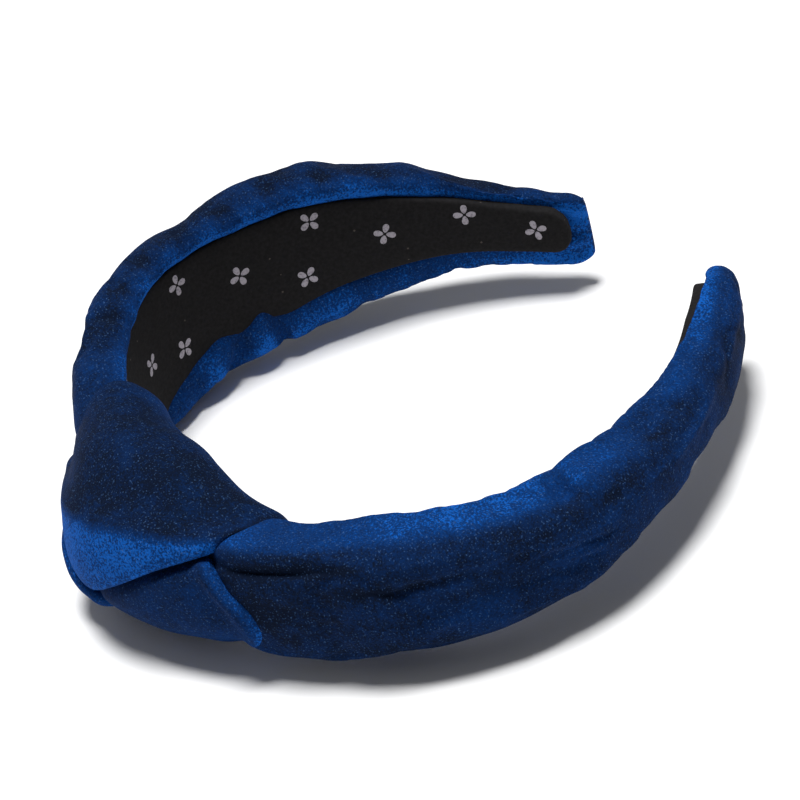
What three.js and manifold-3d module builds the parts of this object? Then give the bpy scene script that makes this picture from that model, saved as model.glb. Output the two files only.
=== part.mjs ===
// Knotted headband: a sprung hoop wrapped in lining, with two padded velvet sleeves and a folded velvet knot.
// It lies on its side: +Z up, the knot towards -Y, the two tips towards +Y, millimetres.
import * as THREE from 'three';
import { mergeVertices } from 'three/addons/utils/BufferGeometryUtils.js';
import Module from 'manifold-3d';

const wasm = await Module();
wasm.setup();

// plan shape of the hoop: three arcs from the crown to each tip
const crownRadius = 73;
const crownAngle = 46.5;
const shoulderRadius = 39.5;
const shoulderAngle = 51;
const armRadius = 108;
const armAngle = 44.5;

// clearance between neighbouring pieces
const gap = 0.3;

// sprung hoop
const hoopThickness = 2;
const hoopHalfHeightCrown = 16;
const hoopHalfHeightTip = 5.4;
const hoopShortOfTip = 4.5;
const hoopEndRadius = 4;

// lining wrapped round the inner face and both edges of the hoop
const liningThickness = 0.6;
const liningPastHoop = 0.8;

// glue strips between hoop and sleeves
const glueThickness = 0.4;
const glueHalfHeight = 3.2;
const glueEndMargin = 9;

// padded velvet sleeves
const sleeveStart = 38.6;
const sleeveWall = 0.9;
const sleeveThicknessKnot = 11;
const sleeveThicknessTip = 6.6;
const sleeveHalfHeightKnot = 17.5;
const sleeveHalfHeightWide = 20;
const sleeveHalfHeightTip = 8;
const sleeveWideFrom = 52;
const sleeveWideTo = 92;
const sleeveTipRound = 5;

// height of the middle of the band above the surface it lies on
const restHeight = 19.4;

// knot
const knotHingeClearance = 3.3;
const knotCentreOut = 5;
const knotDepthMiddle = 20;
const knotDepthEnd = 8.5;
const knotTopMiddle = 26;
const knotTopEnd = 21.5;
const knotBottom = 21.8;
const knotInner = 15.5;
const foldThickness = 5;
const foldUpperEdge = 118;
const foldLowerEdgeLeft = -16;
const foldLowerEdgeRight = 52;
const wrapThickness = 3.6;
const wrapSetBack = 1.5;
const wrapLowerEdge = -104;
const wrapUnderFold = 24;
const wrapShortOfFold = 1.8;
const battingEndInset = 3;

// threads
const threadRadius = 0.28;
const tackWidth = 14;
const tackHeight = 7;

const arcs = [
  [crownRadius, THREE.MathUtils.degToRad(crownAngle)],
  [shoulderRadius, THREE.MathUtils.degToRad(shoulderAngle)],
  [armRadius, THREE.MathUtils.degToRad(armAngle)],
];
const armLength = arcs.reduce((sum, arc) => sum + arc[0] * arc[1], 0);
const hoopEnd = armLength - hoopShortOfTip;
const liningOut = hoopThickness / 2 + gap + liningThickness;
const sleeveIn = hoopThickness / 2 + glueThickness + 2 * gap;
const knotEnd = sleeveStart - knotHingeClearance;

// point and heading on the hoop's middle line, at a distance from the crown
function onHoop(distance) {
  let x = 0;
  let y = 0;
  let heading = 0;
  let left = distance;
  arcs.forEach(([radius, angle], index) => {
    const last = index === arcs.length - 1;
    const length = last ? left : Math.min(left, radius * angle);
    const turned = heading + length / radius;
    x += radius * (Math.sin(turned) - Math.sin(heading));
    y += radius * (Math.cos(heading) - Math.cos(turned));
    heading = turned;
    left -= length;
  });
  return { x, y, heading };
}

// along is the distance from the crown (negative on the left arm), out is outwards from the hoop, up is height
function place(along, out, up) {
  const side = along < 0 ? -1 : 1;
  const { x, y, heading } = onHoop(Math.abs(along));
  const px = side * (x + Math.sin(heading) * out);
  return new THREE.Vector3(px, y - Math.cos(heading) * out, Math.max(0, restHeight + up));
}

function smooth(value, from, to) {
  return THREE.MathUtils.smoothstep(value, from, to);
}

function mix(from, to, share) {
  return THREE.MathUtils.lerp(from, to, share);
}

function hoopHalfHeight(distance) {
  const taper = mix(hoopHalfHeightCrown, hoopHalfHeightTip, smooth(distance, sleeveStart, hoopEnd));
  const past = Math.max(0, distance - (hoopEnd - hoopEndRadius)) / hoopEndRadius;
  return taper - hoopEndRadius * (1 - Math.sqrt(Math.max(0, 1 - Math.min(past, 1) ** 2)));
}

function sleeveHalfHeight(distance) {
  const widening = mix(sleeveHalfHeightKnot, sleeveHalfHeightWide, smooth(distance, sleeveStart, sleeveWideFrom));
  return mix(widening, sleeveHalfHeightTip, smooth(distance, sleeveWideTo, armLength));
}

function sleeveThickness(distance) {
  return mix(sleeveThicknessKnot, sleeveThicknessTip, smooth(distance, sleeveStart, armLength));
}

// solid from a closed geometry, with its faces turned outwards
function solidFrom(geometry) {
  geometry.deleteAttribute('normal');
  geometry.deleteAttribute('uv');
  const merged = mergeVertices(geometry, 1e-4);
  const points = merged.attributes.position;
  const triangles = Array.from(merged.index.array);
  let volume = 0;
  const a = new THREE.Vector3();
  const b = new THREE.Vector3();
  const c = new THREE.Vector3();
  for (let i = 0; i < triangles.length; i += 3) {
    a.fromBufferAttribute(points, triangles[i]);
    b.fromBufferAttribute(points, triangles[i + 1]);
    c.fromBufferAttribute(points, triangles[i + 2]);
    volume += a.dot(b.cross(c));
  }
  if (volume < 0) {
    triangles.reverse();
  }
  const vertProperties = new Float32Array(points.array);
  const triVerts = new Uint32Array(triangles);
  return new wasm.Manifold(new wasm.Mesh({ numProp: 3, vertProperties, triVerts }));
}

function geometryFrom(solid) {
  const mesh = solid.getMesh();
  const geometry = new THREE.BufferGeometry();
  geometry.setAttribute('position', new THREE.BufferAttribute(mesh.vertProperties, 3));
  geometry.setIndex(new THREE.BufferAttribute(mesh.triVerts, 1));
  geometry.computeVertexNormals();
  return geometry;
}

// extrudes an outline one unit long, then bends and scales it by a function of (outline x, outline y, share)
function bentExtrude(outline, steps, toPoint) {
  const geometry = new THREE.ExtrudeGeometry(new THREE.Shape(outline), {
    depth: 1,
    steps,
    bevelEnabled: false,
  });
  const points = geometry.attributes.position;
  for (let i = 0; i < points.count; i += 1) {
    const bent = toPoint(points.getX(i), points.getY(i), points.getZ(i));
    points.setXYZ(i, bent.x, bent.y, bent.z);
  }
  return solidFrom(geometry);
}

function squareRound(count, power) {
  const outline = [];
  for (let i = 0; i < count; i += 1) {
    const angle = (i / count) * 2 * Math.PI;
    const c = Math.cos(angle);
    const s = Math.sin(angle);
    const reach = (Math.abs(c) ** power + Math.abs(s) ** power) ** (-1 / power);
    outline.push(new THREE.Vector2(c * reach, s * reach));
  }
  return outline;
}

function box(x0, y0, x1, y1) {
  return [
    new THREE.Vector2(x0, y0),
    new THREE.Vector2(x1, y0),
    new THREE.Vector2(x1, y1),
    new THREE.Vector2(x0, y1),
  ];
}

// hoop: a flat bar that tapers in height to rounded ends
function hoopSolid() {
  const half = hoopThickness / 2;
  return bentExtrude(box(-half, -1, half, 1), 72, (x, y, share) => {
    const along = mix(-hoopEnd, hoopEnd, share);
    const height = hoopHalfHeight(Math.min(Math.abs(along), hoopEnd - 0.6));
    return place(along, x, y * height);
  });
}

function liningSolid() {
  const back = hoopThickness / 2;
  const edge = 1 + gap;
  const rim = edge + liningThickness;
  const outline = [
    [-liningOut, -rim],
    [back, -rim],
    [back, -edge],
    [-liningOut + liningThickness, -edge],
    [-liningOut + liningThickness, edge],
    [back, edge],
    [back, rim],
    [-liningOut, rim],
  ].map(([x, y]) => new THREE.Vector2(x, y));
  return bentExtrude(outline, 72, (x, y, share) => {
    const along = mix(-hoopEnd - liningPastHoop, hoopEnd + liningPastHoop, share);
    const height = hoopHalfHeight(Math.min(Math.abs(along), hoopEnd - 0.6));
    return place(along, x, Math.sign(y) * (height + Math.abs(y) - 1));
  });
}

// sleeve body on one arm, drawn in from its outside by an inset, between two distances
function sleeveBody(side, inset, from, to, count, steps) {
  const round = Math.max(1, sleeveTipRound - inset);
  return bentExtrude(squareRound(count, 2.6), steps, (x, y, share) => {
    const distance = mix(from, to, 1 - (1 - share) ** 1.25);
    const past = Math.max(0, distance - (to - round)) / round;
    const draw = Math.sqrt(1 - (0.86 * past) ** 2);
    const thickness = sleeveThickness(distance);
    const middle = sleeveIn + thickness / 2;
    const out = middle + x * (thickness / 2 - inset) * draw;
    const lowest = inset - restHeight;
    const up = y * (sleeveHalfHeight(distance) - inset) * draw;
    return place(side * distance, out, Math.max(lowest, up));
  });
}

function sleeveSolid(side) {
  const outside = sleeveBody(side, 0, sleeveStart, armLength, 22, 34);
  const inside = sleeveBody(side, sleeveWall, sleeveStart - 1, armLength - sleeveWall, 22, 34);
  return outside.subtract(inside);
}

function padSolid(side) {
  const inset = sleeveWall + gap;
  return sleeveBody(side, inset, sleeveStart + gap, armLength - inset, 16, 26);
}

function glueSolid(side) {
  const from = sleeveStart + glueEndMargin;
  const to = hoopEnd - glueEndMargin;
  const outline = box(hoopThickness / 2 + gap, -1, hoopThickness / 2 + gap + glueThickness, 1);
  return bentExtrude(outline, 26, (x, y, share) => {
    return place(side * mix(from, to, share), x, y * glueHalfHeight);
  });
}

// knot surface: distance from the knot's centre line in a direction, measured from straight outwards
function knotReach(along, degrees) {
  const share = Math.min(1, Math.abs(along) / knotEnd);
  const ease = 1 - Math.sqrt(Math.max(0, 1 - share ** 2.4));
  const angle = THREE.MathUtils.degToRad(degrees);
  const c = Math.cos(angle);
  const s = Math.sin(angle);
  const across = c > 0 ? mix(knotDepthMiddle, knotDepthEnd, ease) : knotInner;
  const height = s > 0 ? mix(knotTopMiddle, knotTopEnd, ease) : knotBottom;
  const power = 2.3;
  return ((Math.abs(c) / across) ** power + (Math.abs(s) / height) ** power) ** (-1 / power);
}

// distance at which a line from the knot's centre leaves the lined hoop, with its clearance
function hoopLeave(along, degrees) {
  const angle = THREE.MathUtils.degToRad(degrees);
  const c = Math.cos(angle);
  const s = Math.abs(Math.sin(angle));
  if (c > -0.001) {
    return 0;
  }
  const face = liningOut + 3 * gap;
  const edge = hoopHalfHeight(Math.abs(along)) + liningThickness + 5 * gap;
  const enter = (knotCentreOut - face) / -c;
  const leave = Math.min((knotCentreOut + face) / -c, edge / s);
  return enter < leave ? leave : 0;
}

// inner face of a knot layer, kept clear of the lined hoop and of its corners
function innerReach(along, degrees, outer, thickness) {
  const turn = 12;
  const leave = [-turn, 0, turn].map((step) => hoopLeave(along, degrees + step));
  return Math.max(outer - thickness, ...leave);
}

function foldLowerEdge(along) {
  return mix(foldLowerEdgeLeft, foldLowerEdgeRight, smooth(along, -knotEnd * 0.55, knotEnd));
}

function knotPoint(along, degrees, reach) {
  const angle = THREE.MathUtils.degToRad(degrees);
  return place(along, knotCentreOut + reach * Math.cos(angle), reach * Math.sin(angle));
}

// outline of a strip: x runs along its width 0 to 1, y through its thickness 0 to 1, with rounded ends
function stripOutline(count) {
  const outline = [];
  for (let i = 0; i <= count; i += 1) {
    outline.push(new THREE.Vector2(i / count, 0));
  }
  outline.push(new THREE.Vector2(1.035, 0.28));
  outline.push(new THREE.Vector2(1.035, 0.72));
  for (let i = count; i >= 0; i -= 1) {
    outline.push(new THREE.Vector2(i / count, 1));
  }
  outline.push(new THREE.Vector2(-0.035, 0.72));
  outline.push(new THREE.Vector2(-0.035, 0.28));
  return outline;
}

// upper fold of the knot, draped over the top and the front
function foldSolid() {
  return bentExtrude(stripOutline(13), 20, (x, y, share) => {
    const along = mix(-knotEnd, knotEnd, share);
    const degrees = mix(foldLowerEdge(along), foldUpperEdge, x);
    const outer = knotReach(along, degrees);
    const inner = innerReach(along, degrees, outer, foldThickness);
    return knotPoint(along, degrees, mix(inner, outer, y));
  });
}

function wrapReach(along, degrees) {
  const lower = foldLowerEdge(along) - 6;
  const under = smooth(degrees, lower - 16, lower);
  return knotReach(along, degrees) - mix(wrapSetBack, foldThickness + 5 * gap, under);
}

// lower wrap of the knot, round its underside and up the front beneath the fold
function wrapSolid() {
  return bentExtrude(stripOutline(13), 18, (x, y, share) => {
    const along = mix(wrapShortOfFold - knotEnd, knotEnd, share);
    const upper = foldLowerEdge(along) + wrapUnderFold;
    const degrees = mix(wrapLowerEdge, upper, x);
    const outer = wrapReach(along, degrees);
    const inner = innerReach(along, degrees, outer, wrapThickness);
    return knotPoint(along, degrees, mix(inner, outer, y));
  });
}

// batting that fills the knot in front of the hoop
function battingSolid() {
  const middle = sleeveIn + gap;
  return bentExtrude(squareRound(24, 2), 14, (x, y, share) => {
    const along = mix(battingEndInset - knotEnd, knotEnd - battingEndInset, share);
    const size = Math.hypot(x, y);
    const degrees = THREE.MathUtils.radToDeg(Math.atan2(y, x));
    const inset = foldThickness + wrapThickness + 11 * gap;
    const reach = Math.max(2, knotReach(along, degrees) - inset) * size;
    const angle = THREE.MathUtils.degToRad(degrees);
    const out = knotCentreOut + reach * Math.cos(angle);
    const lowest = 2 * gap + wrapThickness - restHeight;
    return place(along, Math.max(middle, out), Math.max(lowest, reach * Math.sin(angle)));
  });
}

function threadSolid(path, steps) {
  const outline = squareRound(6, 2).map((point) => point.multiplyScalar(threadRadius));
  const geometry = new THREE.ExtrudeGeometry(new THREE.Shape(outline), {
    steps,
    extrudePath: new THREE.CatmullRomCurve3(path),
    bevelEnabled: false,
  });
  return solidFrom(geometry);
}

// seam thread that closes the end of a sleeve
function tipThread(side) {
  const path = [];
  const half = sleeveHalfHeightTip * 0.42;
  const stand = armLength + threadRadius + gap;
  const middle = sleeveIn + sleeveThicknessTip / 2;
  const count = 8;
  for (let i = 0; i <= count; i += 1) {
    const wave = (i % 2 === 0 ? 1 : -1) * 0.7;
    path.push(place(side * stand, middle + wave, mix(-half, half, i / count)));
  }
  return threadSolid(path, 32);
}

// tacking thread that holds the knot through the lining at the crown
function tackThread() {
  const path = [];
  const out = -liningOut - threadRadius - gap;
  const count = 10;
  for (let i = 0; i <= count; i += 1) {
    const up = (i % 2 === 0 ? 1 : -1) * (tackHeight / 2);
    path.push(place(mix(-tackWidth / 2, tackWidth / 2, i / count), out, up));
  }
  return threadSolid(path, 40);
}

const velvet = new THREE.MeshStandardMaterial({ color: 0x0b2f78, roughness: 0.85, metalness: 0 });
const lining = new THREE.MeshStandardMaterial({ color: 0x131212, roughness: 0.95, metalness: 0 });
const plastic = new THREE.MeshStandardMaterial({ color: 0x1a1a1c, roughness: 0.45, metalness: 0 });
const foam = new THREE.MeshStandardMaterial({ color: 0xe9e6dc, roughness: 1, metalness: 0 });
const glue = new THREE.MeshStandardMaterial({ color: 0xd9cfa8, roughness: 0.4, metalness: 0 });
const thread = new THREE.MeshStandardMaterial({ color: 0x0a1f52, roughness: 0.8, metalness: 0 });

const headband = new THREE.Group();

function addPiece(name, solid, material) {
  const mesh = new THREE.Mesh(geometryFrom(solid), material);
  mesh.name = name;
  headband.add(mesh);
}

addPiece('hoop_core', hoopSolid(), plastic);
addPiece('lining_wrap', liningSolid(), lining);
addPiece('glue_strip_left', glueSolid(-1), glue);
addPiece('glue_strip_right', glueSolid(1), glue);
addPiece('sleeve_left', sleeveSolid(-1), velvet);
addPiece('sleeve_right', sleeveSolid(1), velvet);
addPiece('foam_pad_left', padSolid(-1), foam);
addPiece('foam_pad_right', padSolid(1), foam);
addPiece('knot_fold', foldSolid(), velvet);
addPiece('knot_wrap', wrapSolid(), velvet);
addPiece('knot_batting', battingSolid(), foam);
addPiece('tip_thread_left', tipThread(-1), thread);
addPiece('tip_thread_right', tipThread(1), thread);
addPiece('knot_tack_thread', tackThread(), thread);

// origin at the middle of the footprint
const bounds = new THREE.Box3().setFromObject(headband);
const middle = bounds.getCenter(new THREE.Vector3());
headband.position.set(-middle.x, -middle.y, -bounds.min.z);

export default headband;
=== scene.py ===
import math
import bmesh
import bpy
import numpy as np
from mathutils import Matrix, Vector
from mathutils.kdtree import KDTree


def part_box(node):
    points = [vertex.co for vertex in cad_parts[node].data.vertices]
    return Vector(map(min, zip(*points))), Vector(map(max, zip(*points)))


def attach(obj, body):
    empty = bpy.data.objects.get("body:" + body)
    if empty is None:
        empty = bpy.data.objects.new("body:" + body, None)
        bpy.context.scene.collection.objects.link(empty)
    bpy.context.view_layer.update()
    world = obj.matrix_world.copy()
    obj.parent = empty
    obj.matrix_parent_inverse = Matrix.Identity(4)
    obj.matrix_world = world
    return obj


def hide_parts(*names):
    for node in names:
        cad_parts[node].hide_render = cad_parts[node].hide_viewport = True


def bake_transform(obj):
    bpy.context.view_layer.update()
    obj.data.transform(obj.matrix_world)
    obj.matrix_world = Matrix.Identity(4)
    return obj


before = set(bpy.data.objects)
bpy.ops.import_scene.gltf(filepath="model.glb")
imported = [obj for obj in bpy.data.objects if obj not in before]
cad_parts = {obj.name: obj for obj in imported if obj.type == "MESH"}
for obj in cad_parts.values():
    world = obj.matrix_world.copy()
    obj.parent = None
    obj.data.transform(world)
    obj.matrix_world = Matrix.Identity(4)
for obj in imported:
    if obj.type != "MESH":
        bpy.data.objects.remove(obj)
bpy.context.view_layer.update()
print("frame loaded")

# plan of the hoop as the CAD part has it: each arc's radius in mm and its angle in degrees, from the crown out
hoopPlan = {
    "arcs": [(73.0, 46.5), (39.5, 51.0), (108.0, 44.5)],
    "armLength": 178.285,
    "restHeight": 19.4,
    "hoopThickness": 2.0,
}
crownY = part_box("hoop_core")[0][1] * 1000 + hoopPlan["hoopThickness"] / 2


# where a distance from the crown falls on the hoop, and which way the hoop heads there
def onHoop(distance):
    left = np.abs(np.asarray(distance, float))
    x = np.zeros_like(left)
    y = np.zeros_like(left)
    heading = np.zeros_like(left)
    for index, (radius, degrees) in enumerate(hoopPlan["arcs"]):
        length = left if index == 2 else np.minimum(left, radius * math.radians(degrees))
        turned = heading + length / radius
        x = x + radius * (np.sin(turned) - np.sin(heading))
        y = y + radius * (np.cos(heading) - np.cos(turned))
        heading = turned
        left = left - length
    return x, y, heading


# a point along one side (-1 left, 1 right), so far outside the hoop and above it, from millimetres to metres
def place(side, along, out, up):
    x, y, heading = onHoop(along)
    px = side * (x + np.sin(heading) * out)
    py = crownY + y - np.cos(heading) * out
    pz = np.maximum(0.05, hoopPlan["restHeight"] + up)
    return np.stack(np.broadcast_arrays(px, py, pz), -1) * 0.001


# smooth curve through a few (distance, value) points
def through(points, at):
    xs = np.array([p[0] for p in points], float)
    ys = np.array([p[1] for p in points], float)
    at = np.clip(np.asarray(at, float), xs[0], xs[-1])
    slope = np.gradient(ys, xs)
    i = np.clip(np.searchsorted(xs, at, side="right") - 1, 0, len(xs) - 2)
    step = xs[i + 1] - xs[i]
    t = (at - xs[i]) / step
    return (
        (2 * t**3 - 3 * t**2 + 1) * ys[i]
        + (t**3 - 2 * t**2 + t) * step * slope[i]
        + (3 * t**2 - 2 * t**3) * ys[i + 1]
        + (t**3 - t**2) * step * slope[i + 1]
    )


# 0 below low, 1 above high, eased between
def smooth(value, low, high):
    t = np.clip((np.asarray(value, float) - low) / (high - low), 0, 1)
    return t * t * (3 - 2 * t)


# closed tube from a grid: shape(u, v) gives points, u along it and v once round it.
# its two ends are pressed flat and sewn, each point to the one opposite it across sewAt
def makeTube(name, alongCount, aroundCount, shape, paintedLightOf=None, sewAt=0.0):
    bm = bmesh.new()
    bm.loops.layers.uv.new("UVMap")
    bmesh.ops.create_grid(bm, x_segments=alongCount, y_segments=aroundCount, size=0.5, calc_uvs=True)
    flat = np.array([v.co for v in bm.verts])
    u = np.round((flat[:, 0] + 0.5) * alongCount) / alongCount
    v = np.round((flat[:, 1] + 0.5) * aroundCount) / aroundCount
    points = shape(u, v % 1.0)
    opposite = np.round((2 * sewAt - v) % 1.0 * aroundCount) / aroundCount % 1.0
    across = shape(u, opposite)
    ends = (u < 0.5 / alongCount) | (u > 1 - 0.5 / alongCount)
    points[ends] = (points[ends] + across[ends]) / 2
    # painted light: each point's painted sheen and shade, stored as an attribute that the velvet's colour reads
    napAndPaintedLight = bm.verts.layers.float.new("napAndPaintedLight")
    shade = paintedLightOf(u, v % 1.0) if paintedLightOf else np.zeros(len(u))
    for vert, point, value in zip(bm.verts, points, shade):
        vert.co = point
        vert[napAndPaintedLight] = value
    bmesh.ops.remove_doubles(bm, verts=bm.verts, dist=0.00002)
    bmesh.ops.dissolve_degenerate(bm, edges=bm.edges, dist=0.000005)
    bmesh.ops.recalc_face_normals(bm, faces=bm.faces)
    mesh = bpy.data.meshes.new(name)
    bm.to_mesh(mesh)
    bm.free()
    mesh.shade_smooth()
    piece = bpy.data.objects.new(name, mesh)
    bpy.context.collection.objects.link(piece)
    return piece


def finer(piece, levels=1):
    smoother = piece.modifiers.new("smoother", "SUBSURF")
    smoother.levels = levels
    smoother.render_levels = levels


# even wandering between -1 and 1, along a line and over a surface
def noise1(seed, x, scale):
    generator = np.random.default_rng(seed)
    values = generator.uniform(-1, 1, 400)
    t = np.asarray(x, float) / scale + 100
    i = np.floor(t).astype(int)
    f = t - i
    f = f * f * (3 - 2 * f)
    return values[i % 400] * (1 - f) + values[(i + 1) % 400] * f


def noise2(seed, x, y, scaleX, scaleY):
    generator = np.random.default_rng(seed)
    values = generator.uniform(-1, 1, (200, 200))
    tx = np.asarray(x, float) / scaleX + 50
    ty = np.asarray(y, float) / scaleY + 50
    ix = np.floor(tx).astype(int)
    iy = np.floor(ty).astype(int)
    fx = tx - ix
    fy = ty - iy
    fx = fx * fx * (3 - 2 * fx)
    fy = fy * fy * (3 - 2 * fy)
    a = values[ix % 200, iy % 200] * (1 - fx) + values[(ix + 1) % 200, iy % 200] * fx
    b = values[ix % 200, (iy + 1) % 200] * (1 - fx) + values[(ix + 1) % 200, (iy + 1) % 200] * fx
    return a * (1 - fy) + b * fy


# colours and shader nodes
def toLinear(hexColour):
    values = [int(hexColour[i:i + 2], 16) / 255 for i in (1, 3, 5)]
    return [v / 12.92 if v <= 0.04045 else ((v + 0.055) / 1.055) ** 2.4 for v in values] + [1]


def addNode(tree, kind, settings, links):
    node = tree.nodes.new(kind)
    for name, value in settings.items():
        setattr(node, name, value)
    for name, value in links.items():
        socket = node.inputs[name]
        if isinstance(value, bpy.types.NodeSocket):
            tree.links.new(value, socket)
        else:
            socket.default_value = value
    return node


def newMaterial(name):
    material = bpy.data.materials.new(name)
    material.use_nodes = True
    tree = material.node_tree
    return material, tree, tree.nodes["Principled BSDF"]


# velvet colours: deep is the dark cloth colour, royal and glint are painted sheen colours, and the speck colour is
# painted glints
velvetLook = {
    "deep": "#091428",
    "royal": "#07346F",
    "glint": "#1059B2",
    "glintSpeck": "#5C86BE",
    "glintSpeckMm": 0.38,
    "patchMm": 9.0,
    "streakMm": 2.6,
    "grainMm": 0.5,
    "grainDepth": 0.0004,
    "royalAt": 0.72,
    "sheen": 0.10,
    "sheenTint": "#1F63C8",
}


# polyester velvet, short cut pile: the base colour is painted light, the dark cloth colour under painted shade and
# bright painted sheen on rolled edges and fold bands.
# the real fibres are near 0.05 mm, too fine to show, so grain and the painted glint specks that stand for fibre
# ends are drawn coarser
def crushedVelvet():
    material, tree, shader = newMaterial("crushedVelvet")
    spot = addNode(tree, "ShaderNodeTexCoord", {}, {}).outputs["Object"]
    napAndPaintedLight = addNode(tree, "ShaderNodeAttribute", {"attribute_name": "napAndPaintedLight"}, {}).outputs["Fac"]
    patch = addNode(tree, "ShaderNodeTexNoise", {}, {
        "Vector": spot, "Scale": 1000 / velvetLook["patchMm"],
        "Detail": 3.0, "Roughness": 0.55, "Distortion": 0.4})
    streak = addNode(tree, "ShaderNodeTexNoise", {}, {
        "Vector": spot, "Scale": 1000 / velvetLook["streakMm"],
        "Detail": 2.0, "Roughness": 0.6, "Distortion": 0.8})
    grain = addNode(tree, "ShaderNodeTexNoise", {}, {
        "Vector": spot, "Scale": 1000 / velvetLook["grainMm"], "Detail": 1.5, "Roughness": 0.7})
    patchLift = addNode(tree, "ShaderNodeMapRange", {}, {
        "Value": patch.outputs["Fac"], "From Min": 0.35, "From Max": 0.7, "To Min": -0.06, "To Max": 0.12})
    streakLift = addNode(tree, "ShaderNodeMapRange", {}, {
        "Value": streak.outputs["Fac"], "From Min": 0.3, "From Max": 0.7, "To Min": -0.07, "To Max": 0.09})
    grainLift = addNode(tree, "ShaderNodeMapRange", {}, {
        "Value": grain.outputs["Fac"], "From Min": 0.3, "From Max": 0.7, "To Min": -0.6, "To Max": 0.7})
    # the grain shows most where the painted sheen is bright
    grainShare = addNode(tree, "ShaderNodeMath", {"operation": "MULTIPLY_ADD"}, {0: napAndPaintedLight, 1: 0.45, 2: 0.16})
    grainPart = addNode(tree, "ShaderNodeMath", {"operation": "MULTIPLY"}, {
        0: grainLift.outputs["Result"], 1: grainShare.outputs["Value"]})
    lay = addNode(tree, "ShaderNodeMath", {"operation": "ADD"}, {0: napAndPaintedLight, 1: patchLift.outputs["Result"]})
    lay2 = addNode(tree, "ShaderNodeMath", {"operation": "ADD"}, {
        0: lay.outputs["Value"], 1: streakLift.outputs["Result"]})
    lay3 = addNode(tree, "ShaderNodeMath", {"operation": "ADD", "use_clamp": True}, {
        0: lay2.outputs["Value"], 1: grainPart.outputs["Value"]})
    # base colour ramp: deep cloth colour where the painted light is low, royal and glint painted sheen where it is
    # high
    ramp = addNode(tree, "ShaderNodeValToRGB", {}, {"Fac": lay3.outputs["Value"]})
    ramp.color_ramp.elements[0].color = toLinear(velvetLook["deep"])
    ramp.color_ramp.elements[1].color = toLinear(velvetLook["glint"])
    middle = ramp.color_ramp.elements.new(velvetLook["royalAt"])
    middle.color = toLinear(velvetLook["royal"])
    # painted glints: light specks that stand for single fibre ends catching the light
    glintSpeck = addNode(tree, "ShaderNodeTexNoise", {}, {
        "Vector": spot, "Scale": 1000 / velvetLook["glintSpeckMm"], "Detail": 0.0})
    glintSpeckLit = addNode(tree, "ShaderNodeMapRange", {}, {
        "Value": glintSpeck.outputs["Fac"], "From Min": 0.66, "From Max": 0.84, "To Min": 0.0, "To Max": 0.26})
    lit = addNode(tree, "ShaderNodeMix", {"data_type": "RGBA"}, {
        0: glintSpeckLit.outputs["Result"], 6: ramp.outputs["Color"], 7: toLinear(velvetLook["glintSpeck"])})
    tree.links.new(lit.outputs[2], shader.inputs["Base Color"])
    bump = addNode(tree, "ShaderNodeBump", {}, {
        "Height": grain.outputs["Fac"], "Strength": 0.6, "Distance": velvetLook["grainDepth"]})
    tree.links.new(bump.outputs["Normal"], shader.inputs["Normal"])
    shader.inputs["Roughness"].default_value = 0.9
    shader.inputs["Specular IOR Level"].default_value = 0.06
    shader.inputs["Sheen Weight"].default_value = velvetLook["sheen"]
    shader.inputs["Sheen Roughness"].default_value = 0.3
    shader.inputs["Sheen Tint"].default_value = toLinear(velvetLook["sheenTint"])
    return material


liningLook = {
    "cloth": "#1D1C1D",
    "lint": "#4A4440",
    "flower": "#A9A3AC",
    "flowerWorn": "#77727A",
    "brushMm": 0.8,
    "lintMm": 1.6,
    "inkMm": 0.5,
}


# brushed black lining cloth: flat, a little lint on it
def brushedLining():
    material, tree, shader = newMaterial("brushedLining")
    spot = addNode(tree, "ShaderNodeTexCoord", {}, {}).outputs["Object"]
    napAndPaintedLight = addNode(tree, "ShaderNodeTexNoise", {}, {
        "Vector": spot, "Scale": 1000 / liningLook["brushMm"], "Detail": 3.0})
    lint = addNode(tree, "ShaderNodeTexVoronoi", {}, {"Vector": spot, "Scale": 1000 / liningLook["lintMm"]})
    lintColour = addNode(tree, "ShaderNodeSeparateColor", {}, {"Color": lint.outputs["Color"]})
    near = addNode(tree, "ShaderNodeMath", {"operation": "LESS_THAN"}, {0: lint.outputs["Distance"], 1: 0.16})
    rare = addNode(tree, "ShaderNodeMath", {"operation": "GREATER_THAN"}, {0: lintColour.outputs["Red"], 1: 0.93})
    both = addNode(tree, "ShaderNodeMath", {"operation": "MULTIPLY"}, {
        0: near.outputs["Value"], 1: rare.outputs["Value"]})
    shade = addNode(tree, "ShaderNodeMapRange", {}, {
        "Value": napAndPaintedLight.outputs["Fac"], "From Min": 0.3, "From Max": 0.7, "To Min": 0.7, "To Max": 1.25})
    cloth = addNode(tree, "ShaderNodeMix", {"data_type": "RGBA", "blend_type": "MULTIPLY"}, {
        0: 1.0, 6: toLinear(liningLook["cloth"]), 7: shade.outputs["Result"]})
    linted = addNode(tree, "ShaderNodeMix", {"data_type": "RGBA"}, {
        0: both.outputs["Value"], 6: cloth.outputs[2], 7: toLinear(liningLook["lint"])})
    tree.links.new(linted.outputs[2], shader.inputs["Base Color"])
    bump = addNode(tree, "ShaderNodeBump", {}, {"Height": napAndPaintedLight.outputs["Fac"], "Strength": 0.4, "Distance": 0.0003})
    tree.links.new(bump.outputs["Normal"], shader.inputs["Normal"])
    shader.inputs["Roughness"].default_value = 0.95
    shader.inputs["Specular IOR Level"].default_value = 0.15
    return material


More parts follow.
